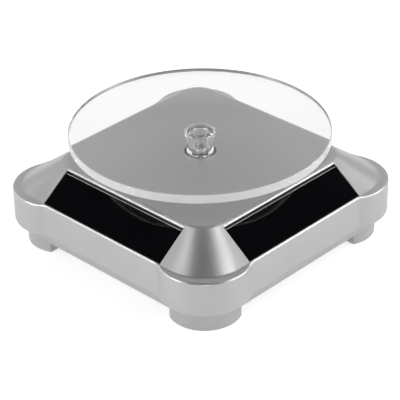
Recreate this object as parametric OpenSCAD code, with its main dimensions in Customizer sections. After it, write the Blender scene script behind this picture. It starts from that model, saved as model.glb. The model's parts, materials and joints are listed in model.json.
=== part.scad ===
// Solar turntable display stand: a low silver housing with four sloping solar cells,
// and a clear disc on a geared spindle. Millimetres, +Z up. The origin is on the spindle
// axis at the plane that the feet rest on. The front side faces -Y.

/* [Housing] */
// Half of the housing's width between opposite flat walls
housing_half = 48.6; // [48:0.1:50]
// Height where the walls meet the slopes
shoulder_z = 20.95; // [20.5:0.05:22]
// Height of the flat top
plateau_z = 30.6; // [30.3:0.1:31.5]
// Half width at which the slopes would meet the flat top
plateau_half = 35.4; // [35:0.1:36]
// Radius of the round lobe at each corner
lobe_r = 15.7; // [15.4:0.1:16.2]
// Distance of a lobe's axis from the middle, along X and along Y
lobe_offset = 35; // [34.6:0.1:35.4]
// Corner radius of the square from which the slopes rise
slope_base_r = 16.2; // [16:0.1:18]
// Wall thickness of the housing
wall = 2.2; // [1.8:0.1:2.4]
// Radius of the spindle opening in the flat top
spindle_opening_r = 5.5; // [5.3:0.1:6.5]

/* [Solar cells] */
// Length of a window, along the wall
window_l = 55.3; // [50:0.1:56]
// Width of a window, along the slope
window_w = 13.85; // [12:0.05:14]
// Depth of the recess that holds a cell
window_depth = 1.9; // [1.5:0.1:2.2]
// Gap left between a cell and its window's upper edge
cell_gap = 0.6; // [0.3:0.1:0.8]

/* [Base] */
// Height of the feet
foot_h = 6.1; // [5.8:0.1:6.4]
// Height where the housing's walls end
wall_bottom_z = 9.05; // [9:0.05:9.2]
// Half of the base plate's width
base_half = 48.1; // [47.5:0.1:48.3]
// Radius of a foot
foot_r = 12.4; // [11:0.1:12.6]
// Distance of a foot's axis from the middle, along X and along Y
foot_offset = 34.4; // [34:0.1:34.8]

/* [Turntable] */
// Radius of the clear disc
disc_r = 45; // [40:0.5:60]
// Thickness of the clear disc
disc_t = 3.2; // [2.5:0.1:4]
// Height of the disc's upper face
disc_top_z = 41.4; // [41:0.1:43]
// Radius of the hub's column
hub_r = 4.65; // [4.2:0.05:5]
// Radius of the flange under the disc
hub_flange_r = 5.45; // [5:0.05:8]
// Radius of the hub's open bore, above the end of the shaft
hub_bore_r = 2.5; // [2:0.1:2.7]
// Width of the slit that lets the hub's wall spring
hub_slit_w = 0.4; // [0.3:0.1:0.8]

/* [Gears] */
// Module of every gear
gear_module = 0.5; // [0.5]
// Teeth of the three large wheels
wheel_teeth = 50; // [50]
// Teeth of the two small pinions moulded on the compound gears
pinion_teeth = 10; // [10]
// Teeth of the motor's pinion
motor_teeth = 14; // [14]

/* [Battery] */
// Distance between the inner end faces of the battery bay
bay_l = 56.4; // [56:0.1:57]
// Inner width of the battery bay
bay_w = 16; // [15.5:0.1:16]
// Distance of the bay's centre line from the middle
bay_offset = 23.2; // [23:0.1:23.5]

/* [Hidden] */

$fn = 64;
loft_fn = 32;        // facets of the circles inside a hull
past = 1;            // how far a cutter runs past the face that it opens
slack = 0.05;        // gap between still parts that slip together
running = 0.04;      // radial gap of a shaft in its bearing

// Housing
slope_run = housing_half - plateau_half;
slope_angle = atan((plateau_z - shoulder_z) / slope_run);
plateau_corner_r = 7.7;
edge_round = 1.2;    // how far the rounded edge of the flat top reaches over it and down the slope
roof_z = plateau_z - wall;
inner_half = housing_half - wall;
slope_drop = wall / cos(slope_angle);            // the wall's thickness on a slope, measured down
inner_shoulder_z = shoulder_z + wall * tan(slope_angle) - slope_drop;
inner_roof_half = plateau_half + (plateau_z - roof_z - slope_drop) / tan(slope_angle);
window_mid_r = housing_half - 0.53 - window_w / 2 * cos(slope_angle);
window_mid_z = shoulder_z + (housing_half - window_mid_r) * tan(slope_angle);
window_frame_t = 3.4;
window_rim = 2;      // width of the solid frame round a window, inside
ledge = 2.4;         // width of the ledge that a cell rests on
lobe_floor_t = 1.5;  // the rim that closes a lobe from below
boss_r = 3.2;
boss_top_z = 26.2;   // the screw bosses end inside the skin of the slopes

// Base plate
floor_t = 2.2;
floor_z = foot_h + floor_t;
base_corner_r = 14;
groove_h = 0.6;        // shadow gap round the base plate, right under the walls
groove_d = 1;
rim_w = 3.3;         // width of the rim that the housing's walls stand on
locating_w = 1.4;    // thickness of the bars that fit just inside those walls
foot_flat = 5.5;     // from a foot's axis to its two flat inner faces
foot_wall = 1.6;
foot_boss_r = 4.2;
screw_r = 1.3;
screw_head_r = 2.5;
screw_head_h = 1.7;
base_screw_head_z = 2.6;

// Battery bay
bay_wall = 1.5;
bay_top_z = 23.3;
contact_t = 0.4;
door_l = 53;
door_w = 15;
door_t = 1.8;
door_gap = 0.25;
door_pin_r = 0.7;
door_axis_z = foot_h + door_t / 2;
door_axis_x = -door_l / 2 + door_t / 2;
tab_z = 21;
tab_w = 4;
tab_out = 31;        // how far the contacts' solder tabs reach from the middle
cell_axis_z = 15.6;  // height of the AA cell's axis

// Switch
switch_pos = [32, 8];
switch_size = [7, 12, 5];
switch_travel = 3;
switch_shell = 0.7;
tab_size = [2, 3];   // the slider's tab, across and along its travel
tab_bottom_z = 5.5;

// Gearbox, from the bottom up
frame_z = floor_z + 0.7;
frame_t = 1.2;
frame_top = frame_z + frame_t;
shaft_r = 1.5;
axle_r = 1;
journal_top = 12.3;
washer_t = 0.35;
output_gear_z = 13;
output_gear_t = 2.5;
second_wheel_z = 17;
first_pinion_z = 16.6;
first_wheel_z = 22.9;
wheel_t = 1.5;
top_plate_z = 24.9;
top_plate_t = 1.5;
top_plate_top = top_plate_z + top_plate_t;
bush_r = 2.5;
pillar_r = 2.3;
hub_bottom_z = top_plate_top + 1;
hub_column_z = plateau_z - 0.3;                  // where the hub's thick part begins
hub_spigot_r = 2.9;
hub_flange_t = 1.3;
hub_floor_z = plateau_z + 0.4;                   // floor of the hub's open bore, and the shaft's end
hub_slit_angle = -56;

// Gear geometry
pressure_angle = 20;
tooth_play = 0.04;   // how much each flank is thinned
addendum = 0.9;
dedendum = 1.25;
small_distance = gear_module * (wheel_teeth + pinion_teeth) / 2;
motor_distance = gear_module * (wheel_teeth + motor_teeth) / 2;
second_dir = 60;     // direction from the spindle to the second axle
first_dir = 150;     // direction from the second axle to the first
motor_dir = 195;     // direction from the first axle to the motor
second_pos = small_distance * [cos(second_dir), sin(second_dir)];
first_pos = second_pos + small_distance * [cos(first_dir), sin(first_dir)];
motor_pos = first_pos + motor_distance * [cos(motor_dir), sin(motor_dir)];
pinion_shift = own_shift(pinion_teeth);
motor_shift = own_shift(motor_teeth);
second_pinion_phase = mesh_phase(second_dir, pinion_teeth, wheel_teeth);
first_pinion_phase = mesh_phase(first_dir, pinion_teeth, wheel_teeth);
motor_pinion_phase = mesh_phase(motor_dir, motor_teeth, wheel_teeth);

// Motor
can_r = 12;
can_t = 0.8;
can_split_z = 12;    // where the end cap meets the can
can_top_z = 21.8;
motor_boss_r = 3;
motor_boss_h = 0.6;
cup_wall = 1.3;
cup_top_z = 16;
armature_z = 15;
armature_h = 4.5;
armature_r = 8.8;
arm_w = 3;
winding_t = 1.1;

// Pillars of the gear frame, and the housing's posts that the gearbox hangs from
pillars = [[19.5, -8], [-17, -8], [20, 26], [-22, 31.5]];
posts = [[27, -4], [27, 24], [-27, -6]];
small_screw_r = 1.0;
small_head_r = 1.9;
small_head_h = 1.2;

// Wiring: radius of a wire, and the points that each wire passes through
wire_r = 0.6;
wire_sides = 6;
wire_steps = 4;      // rings from one point to the next
motor_lead_path = [
    [34.8, 11, 15.4], [38.5, 16, 15], [41, 24, 14], [42, 34, 13], [39, 41, 13], [30, 42.5, 13],
    [0, 42.5, 13], [-28, 42.5, 13], [-38.5, 40.5, 12.5], [-42, 32, 12], [-40, 22, 11.5],
    [-36.8, 18.4, 11]
];
battery_red_path = [
    [31.8, -23.2, 21.2], [35, -20, 20.5], [36.5, -10, 18], [35.5, -1, 16], [34.4, 5, 15.4]
];
battery_black_path = [
    [-31.8, -23.2, 21.2], [-36, -19, 20], [-39.5, -8, 16], [-39.5, 6, 12.5], [-36.8, 13.2, 11]
];
solar_red_path = [
    [-22, -39.6, 20.8], [-19, -39, 17], [-8, -39, 13], [10, -40, 12], [28, -41, 12],
    [38, -40.5, 12.5], [42, -30, 13], [42, -12, 14], [40, 2, 15], [36.2, 8, 15.4]
];
solar_black_path = [
    [-39.6, -22, 20.8], [-42.5, -14, 17], [-43, 0, 13], [-41.5, 10, 11.5], [-36.8, 15, 11]
];
jumper_path = [
    [22, -39.6, 20.8], [27.5, -37.5, 20], [29, -33.3, 26], [33.3, -29, 26], [37.5, -27.5, 20],
    [39.6, -22, 20.8]
];

// ---------- shared shapes ----------

// A square with rounded corners, centred: half its side, and its corner radius
module rounded_square(half, r) {
    square([2 * (half - r), 2 * half], center = true);
    square([2 * half, 2 * (half - r)], center = true);
    for (x = [-1, 1], y = [-1, 1]) translate([x, y] * (half - r)) circle(r);
}

// The same as a thin slab whose underside is at z
module square_slab(half, r, z, t = 0.01) {
    translate([0, 0, z]) linear_extrude(t) rounded_square(half, r, $fn = loft_fn);
}

// Puts its children at the four corners, each turned to face outwards
module at_corners(distance = foot_offset) {
    for (turn = [0:90:270]) rotate([0, 0, turn]) translate([distance, distance, 0]) children();
}

// Puts its children on the front slope's surface: local Z points out, local Y points up the slope
module on_slope() {
    translate([0, -window_mid_r, window_mid_z]) rotate([slope_angle, 0, 0]) children();
}

// A block centred in X and Y whose top is at z = 0
module sunk_block(l, w, t) {
    translate([-l / 2, -w / 2, -t]) cube([l, w, t]);
}

// A bar between two heights
module rod(r, z0, z1) {
    translate([0, 0, z0]) cylinder(r = r, h = z1 - z0);
}

// A ring between two heights
module tube(outer, inner, z0, z1) {
    difference() {
        rod(outer, z0, z1);
        rod(inner, z0 - past, z1 + past);
    }
}

// A pan-head screw pointing up, head on z = 0, with a cross recess in its head
module screw(r, head_r, head_h, l) {
    difference() {
        union() {
            rod(head_r, -head_h, 0);
            rod(r, -slack, l);
        }
        for (turn = [0, 90]) rotate([0, 0, turn])
            translate([-head_r * 0.6, -head_r * 0.14, -head_h - past])
                cube([head_r * 1.2, head_r * 0.28, past + head_h * 0.6]);
    }
}

// ---------- gears ----------

function involute(a) = tan(a) * 180 / PI - a;

// Profile shift that keeps a small gear from being undercut
function own_shift(teeth) = max(0, 1 - teeth * pow(sin(pressure_angle), 2) / 2);

// Half of a tooth's angle at radius rho
function half_tooth(teeth, shift, rho) =
    let (pitch_r = gear_module * teeth / 2)
    let (base_r = pitch_r * cos(pressure_angle))
    90 / teeth + 2 * shift * tan(pressure_angle) * 180 / PI / teeth - tooth_play / pitch_r * 180 / PI
        + involute(pressure_angle) - involute(acos(min(1, base_r / rho)));

// Radii at which a flank has a point, from its root to its tip
function flank_radii(teeth, shift) =
    let (pitch_r = gear_module * teeth / 2)
    let (root = pitch_r - gear_module * (dedendum - shift))
    let (base_r = pitch_r * cos(pressure_angle))
    let (tip = pitch_r + gear_module * (addendum + shift))
    let (start = max(root + 0.05, base_r))
    [root, start, (start + tip) / 2, tip];

module gear_outline(teeth, shift) {
    radii = flank_radii(teeth, shift);
    steps = len(radii) - 1;
    polygon([
        for (tooth = [0:teeth - 1], side = [-1, 1], i = [0:steps])
            let (rho = side < 0 ? radii[i] : radii[steps - i])
            let (a = tooth * 360 / teeth + side * half_tooth(teeth, shift, rho))
            rho * [cos(a), sin(a)]
    ]);
}

// A spur gear between two heights, with a tooth on the direction phase
module spur(teeth, shift, z0, z1, phase = 0) {
    translate([0, 0, z0]) rotate([0, 0, phase]) linear_extrude(z1 - z0) gear_outline(teeth, shift);
}

// Phase at which a gear meshes with a wheel of phase 0 that lies behind it in the given direction
function mesh_phase(direction, teeth, mate_teeth) =
    direction + 180 - (0.5 - direction * mate_teeth / 360) * 360 / teeth;

// ---------- wires and springs ----------

function unit(v) = v / norm(v);

// A point on the smooth curve through p, at whole steps of 1 from point to point
function curve_point(p, s) =
    let (i = min(floor(s), len(p) - 2), t = s - i)
    let (a = p[max(i - 1, 0)], b = p[i], c = p[i + 1], d = p[min(i + 2, len(p) - 1)])
    0.5 * (2 * b + (c - a) * t + (2 * a - 5 * b + 4 * c - d) * t ^ 2 + (3 * b - a - 3 * c + d) * t ^ 3);

// A closed tube swept along a list of centres, which never runs straight up or down
module sweep(centres, r, sides) {
    last = len(centres) - 1;
    rings = [
        for (i = [0:last])
            let (along = unit(centres[min(i + 1, last)] - centres[max(i - 1, 0)]))
            let (across = unit(cross(along, [0, 0, 1])), other = cross(across, along))
            for (k = [0:sides - 1])
                centres[i] + r * (cos(k * 360 / sides) * across + sin(k * 360 / sides) * other)
    ];
    walls = [
        for (i = [0:last - 1], k = [0:sides - 1])
            let (a = i * sides + k, b = i * sides + (k + 1) % sides)
            for (face = [[a, b, a + sides], [b, b + sides, a + sides]]) face
    ];
    start_cap = [for (k = [sides - 1:-1:0]) k];
    end_cap = [for (k = [0:sides - 1]) last * sides + k];
    polyhedron(points = rings, faces = concat([start_cap], walls, [end_cap]), convexity = 4);
}

module wire(path) {
    rings = (len(path) - 1) * wire_steps;
    sweep([for (i = [0:rings]) curve_point(path, i / wire_steps)], wire_r, wire_sides);
}

// ---------- housing ----------

// Plan of the walls: straight sides that stop at the lobes
module lobed_outline() {
    square([2 * lobe_offset, 2 * housing_half], center = true);
    square([2 * housing_half, 2 * lobe_offset], center = true);
    for (x = [-1, 1], y = [-1, 1]) translate([x, y] * lobe_offset) circle(lobe_r);
}

module housing_outside() {
    translate([0, 0, wall_bottom_z]) linear_extrude(shoulder_z - wall_bottom_z) lobed_outline();
    hull() {
        square_slab(housing_half, slope_base_r, shoulder_z);
        square_slab(plateau_half + edge_round, plateau_corner_r + edge_round / 2,
            plateau_z - edge_round * tan(slope_angle));
        square_slab(plateau_half - edge_round, plateau_corner_r - edge_round / 2, plateau_z - 0.01);
    }
}

module housing_inside() {
    inner_r = slope_base_r - wall;
    hull() {
        square_slab(inner_half, inner_r, inner_shoulder_z);
        square_slab(inner_roof_half, plateau_corner_r - 0.7, roof_z - 0.01);
    }
    translate([0, 0, wall_bottom_z - past]) linear_extrude(inner_shoulder_z - wall_bottom_z + past + 0.005)
        rounded_square(inner_half, inner_r);
    at_corners(lobe_offset) rod(lobe_r - wall, wall_bottom_z + lobe_floor_t, shoulder_z - wall);
}

// The solid frame that backs a window, cut off flush with the slope
module window_frame() {
    on_slope() sunk_block(window_l + 2 * window_rim, window_w + 2 * window_rim, window_frame_t);
}

module window_cut() {
    on_slope() {
        translate([0, 0, past]) sunk_block(window_l, window_w, window_depth + past);
        sunk_block(window_l - 2 * ledge, window_w - 2 * ledge, window_frame_t + past);
    }
}

module upper_housing() {
    color("silver") difference() {
        union() {
            difference() {
                housing_outside();
                housing_inside();
            }
            for (turn = [0:90:270]) rotate([0, 0, turn]) window_frame();
            at_corners() rod(boss_r, floor_z, boss_top_z);
            for (p = posts) translate(p) rod(3, top_plate_top, roof_z + 0.2);
        }
        for (turn = [0:90:270]) rotate([0, 0, turn]) window_cut();
        rod(spindle_opening_r, roof_z - past, plateau_z + past);
        at_corners() rod(screw_r + slack, floor_z - past, 18);
        for (p = posts) translate(p) rod(small_screw_r + slack, top_plate_top - past, plateau_z - 1);
    }
}

// ---------- solar cells ----------

module solar_cell(turn) {
    cell_w = window_w - cell_gap - slack;
    color("#15161a") rotate([0, 0, turn]) on_slope()
        translate([0, -window_w / 2 + slack + cell_w / 2, -2 * slack])
            sunk_block(window_l - 0.3, cell_w, window_depth - 2 * slack);
}

module solar_cell_front() { solar_cell(0); }
module solar_cell_right() { solar_cell(90); }
module solar_cell_back() { solar_cell(180); }
module solar_cell_left() { solar_cell(270); }

// ---------- base plate ----------

// A round foot with two flat faces on its inner sides, in its own lobe's frame
module foot_outline(inset) {
    intersection() {
        circle(foot_r - inset);
        translate([inset - foot_flat, inset - foot_flat]) square(2 * foot_r);
    }
}

module foot() {
    difference() {
        linear_extrude(foot_h) foot_outline(0);
        translate([0, 0, -past]) linear_extrude(foot_h - foot_wall + past) foot_outline(foot_wall);
    }
    rod(foot_boss_r, 0.9, foot_h);
}

module foot_screw_hole() {
    rod(screw_head_r + 0.3, -past, base_screw_head_z + screw_head_h);
    rod(screw_r + 0.15, -past, floor_z + past);
}

module bay_box(grow, z0, z1) {
    translate([-bay_l / 2 - grow, -bay_offset - bay_w / 2 - grow, z0])
        cube([bay_l + 2 * grow, bay_w + 2 * grow, z1 - z0]);
}

// Slots in the bay's end walls for the contacts' solder tabs
module tab_slots() {
    translate([-tab_out, -bay_offset - tab_w / 2 - 0.1, tab_z - 0.1])
        cube([2 * tab_out, tab_w + 0.2, contact_t + 0.2]);
}

module door_opening() {
    translate([-door_l / 2 - door_gap, -bay_offset - door_w / 2 - door_gap, foot_h - past])
        cube([door_l + 2 * door_gap, door_w + 2 * door_gap, floor_t + 2 * past]);
    translate([door_axis_x, -bay_offset, door_axis_z]) rotate([90, 0, 0])
        cylinder(r = door_pin_r + running, h = door_w + 3, center = true);
}

// The low fence on the floor that the switch drops into
module switch_fence() {
    fence_t = 1.2;
    fence_h = 3.1;
    inside = [switch_size.x + 2 * slack, switch_size.y + 2 * slack];
    translate([switch_pos.x, switch_pos.y, floor_z - 0.1]) linear_extrude(fence_h) difference() {
        square(inside + 2 * [fence_t, fence_t], center = true);
        square(inside, center = true);
    }
}

module base_plate() {
    locating_l = 30;
    slot_size = [tab_size.x + 0.6, tab_size.y + switch_travel + 0.6];
    color("darkgray") difference() {
        union() {
            difference() {
                translate([0, 0, foot_h]) linear_extrude(wall_bottom_z - groove_h - foot_h)
                    rounded_square(base_half, base_corner_r);
                translate([0, 0, floor_z]) linear_extrude(wall_bottom_z - floor_z)
                    rounded_square(base_half - groove_d, base_corner_r - groove_d);
                translate([0, 0, floor_z]) linear_extrude(wall_bottom_z)
                    rounded_square(base_half - rim_w, base_corner_r - rim_w);
            }
            at_corners() foot();
            for (turn = [0:90:270]) rotate([0, 0, turn])
                translate([-locating_l / 2, -inner_half + 0.2, floor_z])
                    cube([locating_l, locating_w, 3.4]);
            bay_box(bay_wall, floor_z - 0.1, bay_top_z + bay_wall);
            rod(5, floor_z - 0.1, frame_z);
            switch_fence();
        }
        bay_box(0, floor_z, bay_top_z);
        door_opening();
        tab_slots();
        at_corners() foot_screw_hole();
        translate([switch_pos.x - slot_size.x / 2, switch_pos.y - slot_size.y / 2, foot_h - past])
            cube([slot_size.x, slot_size.y, floor_t + 2 * past]);
    }
}

// ---------- battery bay ----------

module battery_door() {
    color("darkgray") translate([0, -bay_offset, 0]) {
        difference() {
            union() {
                translate([door_axis_x, -door_w / 2, foot_h])
                    cube([door_l / 2 - door_axis_x, door_w, door_t]);
                translate([door_axis_x, 0, door_axis_z]) rotate([90, 0, 0])
                    cylinder(r = door_t / 2, h = door_w, center = true);
                translate([door_axis_x, 0, door_axis_z]) rotate([90, 0, 0])
                    cylinder(r = door_pin_r, h = door_w + 2.4, center = true);
            }
            for (i = [0:3]) translate([door_l / 2 - 4 - 2 * i, 0, foot_h]) rotate([90, 0, 0])
                cylinder(r = 0.5, h = 9, center = true);
        }
        translate([door_l / 2 - past, -3, foot_h + 0.9]) cube([past + 0.15, 6, 0.6]);
    }
}

// A contact plate against the bay's end wall, with a solder tab through it; side is 1 or -1
module contact_plate(side) {
    plate_w = 12;
    plate_z = floor_z + 1;
    translate([side > 0 ? bay_l / 2 - contact_t : -bay_l / 2, -bay_offset - plate_w / 2, plate_z])
        cube([contact_t, plate_w, tab_z + contact_t - plate_z]);
    translate([side > 0 ? bay_l / 2 - contact_t : -tab_out, -bay_offset - tab_w / 2, tab_z])
        cube([tab_out - bay_l / 2 + contact_t, tab_w, contact_t]);
}

module positive_contact() {
    color("lightgray") {
        contact_plate(1);
        translate([bay_l / 2 - contact_t + 0.01, -bay_offset, cell_axis_z]) rotate([0, -90, 0])
            cylinder(r = 2, h = 0.5);
    }
}

module negative_contact() {
    color("lightgray") contact_plate(-1);
}

// A conical spring, drawn at the length that it has with a cell fitted
module battery_spring() {
    turns = 3;
    ring_steps = 14;
    spring_wire = 0.35;
    spring_l = 4.3;
    base_r = 4.6;
    tip_r = 2.6;
    start_x = -bay_l / 2 + contact_t + spring_wire + 0.02;
    count = turns * ring_steps;
    color("lightgray") translate([start_x, -bay_offset, cell_axis_z]) rotate([0, 90, 0])
        sweep([
            for (i = [0:count])
                let (r = base_r + (tip_r - base_r) * i / count, a = 360 * i / ring_steps)
                [r * cos(a), r * sin(a), (spring_l - 2 * spring_wire) * i / count]
        ], spring_wire, 6);
}

// ---------- switch ----------

module switch_body() {
    inner = [switch_size.x - 2 * switch_shell, switch_size.y - 2 * switch_shell];
    color("gray") translate([switch_pos.x, switch_pos.y, floor_z]) {
        difference() {
            translate([-switch_size.x / 2, -switch_size.y / 2, 0]) cube(switch_size);
            translate([-inner.x / 2, -inner.y / 2, -past]) cube([inner.x, inner.y, 2.7 + past]);
        }
        for (i = [-1:1]) translate([-0.25, 3 * i - 0.7, switch_size.z - 0.01]) cube([0.5, 1.4, 2.2]);
    }
}

module switch_slider() {
    carriage_w = switch_size.x - 2 * switch_shell - 0.4;
    carriage_l = switch_size.y - 2 * switch_shell - switch_travel - 0.6;
    color("black") translate([switch_pos.x, switch_pos.y - switch_travel / 2, 0]) {
        translate([-carriage_w / 2, -carriage_l / 2, floor_z + 0.1]) cube([carriage_w, carriage_l, 2.2]);
        translate([-tab_size.x / 2, -tab_size.y / 2, tab_bottom_z])
            cube([tab_size.x, tab_size.y, floor_z + 0.3 - tab_bottom_z]);
    }
}

// ---------- gearbox ----------

module gear_frame() {
    cup_r = can_r + 0.1;
    color("white") difference() {
        union() {
            translate([-20, -11.5, frame_z]) cube([43, 41.5, frame_t]);
            translate(motor_pos) rod(cup_r + cup_wall, frame_z, cup_top_z);
            for (p = pillars) translate(p) {
                rod(pillar_r + 1.3, frame_z, frame_top);
                rod(pillar_r, frame_z, top_plate_z);
            }
            rod(3.2, frame_z, journal_top);
            translate(second_pos) rod(2.2, frame_z, journal_top - 0.1);
            translate(first_pos) rod(2.2, frame_z, first_pinion_z - 0.2);
        }
        translate(motor_pos) rod(cup_r, frame_top, top_plate_z);
        translate([motor_pos.x - can_r - 4, motor_pos.y - 4, frame_top]) cube([6, 8, 2.5]);
        rod(shaft_r + running, frame_z + 0.6, journal_top + past);
        for (p = [first_pos, second_pos]) translate(p) rod(axle_r, frame_z + 0.6, first_pinion_z + past);
        for (p = pillars) translate(p) rod(small_screw_r + slack, top_plate_z - 8, top_plate_z + past);
    }
}

module gear_top_plate() {
    corner = 8;
    low = [-30.5, -11.5];
    high = [30.5, 34.5];
    color("white") difference() {
        translate([0, 0, top_plate_z]) linear_extrude(top_plate_t) {
            translate([low.x + corner, low.y]) square([high.x - low.x - 2 * corner, high.y - low.y]);
            translate([low.x, low.y + corner]) square([high.x - low.x, high.y - low.y - 2 * corner]);
            for (x = [low.x + corner, high.x - corner], y = [low.y + corner, high.y - corner])
                translate([x, y]) circle(corner);
        }
        rod(bush_r, top_plate_z - past, top_plate_top + past);
        for (p = [first_pos, second_pos]) translate(p)
            rod(axle_r, top_plate_z - past, top_plate_top + past);
        for (p = concat(pillars, posts)) translate(p)
            rod(small_screw_r + 0.15, top_plate_z - past, top_plate_top + past);
    }
}

module spindle_bush() {
    color("goldenrod") difference() {
        union() {
            rod(bush_r, top_plate_z - 1.2, top_plate_top);
            rod(bush_r + 1, top_plate_top, top_plate_top + 0.7);
        }
        rod(shaft_r + running, top_plate_z - 2, top_plate_top + 2);
    }
}

module thrust_washer() {
    color("lightgray") tube(3, shaft_r + 0.1, journal_top, journal_top + washer_t);
}

module first_axle() {
    color("lightgray") translate(first_pos) rod(axle_r, frame_z + 0.6, top_plate_top);
}

module second_axle() {
    color("lightgray") translate(second_pos) rod(axle_r, frame_z + 0.6, top_plate_top);
}

// ---------- gear train ----------

module output_gear() {
    color("white") difference() {
        union() {
            spur(wheel_teeth, -pinion_shift, output_gear_z, output_gear_z + output_gear_t);
            rod(4, output_gear_z - 0.25, output_gear_z + output_gear_t + 0.8);
        }
        rod(shaft_r, output_gear_z - past, second_wheel_z);
    }
}

module second_gear() {
    color("white") translate(second_pos) difference() {
        union() {
            spur(pinion_teeth, pinion_shift, journal_top, second_wheel_z, second_pinion_phase);
            spur(wheel_teeth, -pinion_shift, second_wheel_z, second_wheel_z + wheel_t);
            rod(1.8, second_wheel_z, top_plate_z - 0.2);
        }
        rod(axle_r + running, journal_top - past, top_plate_z + past);
    }
}

module first_gear() {
    color("white") translate(first_pos) difference() {
        union() {
            spur(pinion_teeth, pinion_shift, first_pinion_z, first_wheel_z, first_pinion_phase);
            spur(wheel_teeth, -motor_shift, first_wheel_z, first_wheel_z + wheel_t);
            rod(1.8, first_wheel_z, top_plate_z - 0.2);
        }
        rod(axle_r + running, first_pinion_z - past, top_plate_z + past);
    }
}

// ---------- motor ----------

module motor_can() {
    color("silver") translate(motor_pos) difference() {
        union() {
            rod(can_r, can_split_z, can_top_z);
            rod(motor_boss_r, can_top_z - 0.1, can_top_z + motor_boss_h);
        }
        rod(can_r - can_t, can_split_z - past, can_top_z - can_t);
        rod(axle_r + running, can_top_z - 2, can_top_z + 2);
    }
}

module motor_end_cap() {
    color("ivory") translate(motor_pos) difference() {
        union() {
            rod(can_r, frame_top, can_split_z);
            rod(2.2, can_split_z - 0.1, can_split_z + 1.2);
        }
        rod(axle_r + running, frame_top + 0.6, can_split_z + 2);
    }
}

module motor_magnet() {
    color("dimgray") translate(motor_pos)
        tube(can_r - can_t - 0.1, armature_r + 0.4, armature_z - 1, armature_z + armature_h + 1);
}

module motor_brushes() {
    color("gold") translate(motor_pos) for (side = [-1, 1])
        translate([-1, side * 2.35 - 0.15, can_split_z]) cube([2, 0.3, 2.4]);
}

// Two tabs that reach out of the end cap through the notch in the motor's cup
module motor_terminals() {
    color("gold") translate(motor_pos) for (side = [-1, 1])
        translate([-can_r - 3, side * 2.4 - 0.8, frame_top + 0.4]) cube([3, 1.6, 0.4]);
}

module motor_shaft() {
    color("lightgray") translate(motor_pos) rod(axle_r, frame_top + 0.65, top_plate_z - 0.2);
}

// A stack of laminations with three poles
module motor_armature() {
    tip_t = 1.6;
    color("gray") translate(motor_pos) difference() {
        translate([0, 0, armature_z]) linear_extrude(armature_h) {
            circle(3);
            intersection() {
                circle(armature_r);
                for (turn = [0:120:240]) rotate(turn) {
                    translate([0, -arm_w / 2]) square([armature_r + 1, arm_w]);
                    translate([armature_r - tip_t, -5.5]) square([tip_t + 1, 11]);
                }
            }
        }
        rod(axle_r, armature_z - past, armature_z + armature_h + past);
    }
}

// One coil round each arm of the armature
module motor_windings() {
    coil_l = 3;
    coil_w = arm_w + 2 * winding_t;
    coil_h = armature_h + 2 * winding_t;
    color("peru") translate(motor_pos) for (turn = [0:120:240]) rotate([0, 0, turn])
        translate([3.7, 0, armature_z - winding_t]) difference() {
            translate([0, -coil_w / 2, 0]) cube([coil_l, coil_w, coil_h]);
            translate([-past, -arm_w / 2, winding_t]) cube([coil_l + 2 * past, arm_w, armature_h]);
        }
}

module motor_commutator() {
    color("peru") translate(motor_pos) tube(2.1, axle_r, can_split_z + 1.3, armature_z);
}

module motor_pinion() {
    pinion_z = can_top_z + motor_boss_h + 0.2;
    color("goldenrod") translate(motor_pos) difference() {
        spur(motor_teeth, motor_shift, pinion_z, top_plate_z - 0.3, motor_pinion_phase);
        rod(axle_r, can_top_z, top_plate_z);
    }
}

// ---------- turntable ----------

module output_shaft() {
    color("lightgray") rod(shaft_r, frame_z + 0.65, hub_floor_z);
}

module spindle_hub() {
    disc_z = disc_top_z - disc_t;
    color("lightcyan", 0.5) difference() {
        union() {
            rod(hub_spigot_r, hub_bottom_z, hub_column_z + 0.1);
            rod(hub_r, hub_column_z, disc_z - hub_flange_t + 0.1);
            rod(hub_flange_r, disc_z - hub_flange_t, disc_z);
        }
        rod(shaft_r, hub_bottom_z - past, hub_floor_z + past);
        rod(hub_bore_r, hub_floor_z, disc_z + past);
        rotate(hub_slit_angle) translate([0, -hub_slit_w / 2, hub_floor_z])
            cube([hub_r + past, hub_slit_w, disc_z - hub_flange_t - hub_floor_z]);
    }
}

module turntable_disc() {
    color("white", 0.35) rod(disc_r, disc_top_z - disc_t, disc_top_z, $fn = 128);
}

// ---------- fasteners ----------

module base_screws() {
    color("silver") at_corners() translate([0, 0, base_screw_head_z + screw_head_h])
        screw(screw_r, screw_head_r, screw_head_h, 12.5);
}

// These hold the top plate down on the gear frame's pillars
module frame_screws() {
    color("silver") for (p = pillars) translate([p.x, p.y, top_plate_top]) mirror([0, 0, 1])
        screw(small_screw_r, small_head_r, small_head_h, 8);
}

// These hold the gearbox up against the housing's posts
module gearbox_screws() {
    color("silver") for (p = posts) translate([p.x, p.y, top_plate_z])
        screw(small_screw_r, small_head_r, small_head_h, 4.4);
}

// ---------- wiring ----------

module motor_lead() { color("red") wire(motor_lead_path); }
module battery_lead_red() { color("red") wire(battery_red_path); }
module battery_lead_black() { color("black") wire(battery_black_path); }
module solar_lead_red() { color("red") wire(solar_red_path); }
module solar_lead_black() { color("black") wire(solar_black_path); }

// Three alike, each joining two neighbouring cells round a corner
module solar_jumpers() {
    color("blue") for (turn = [0:90:180]) rotate([0, 0, turn]) wire(jumper_path);
}

// ---------- the stand ----------

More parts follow.
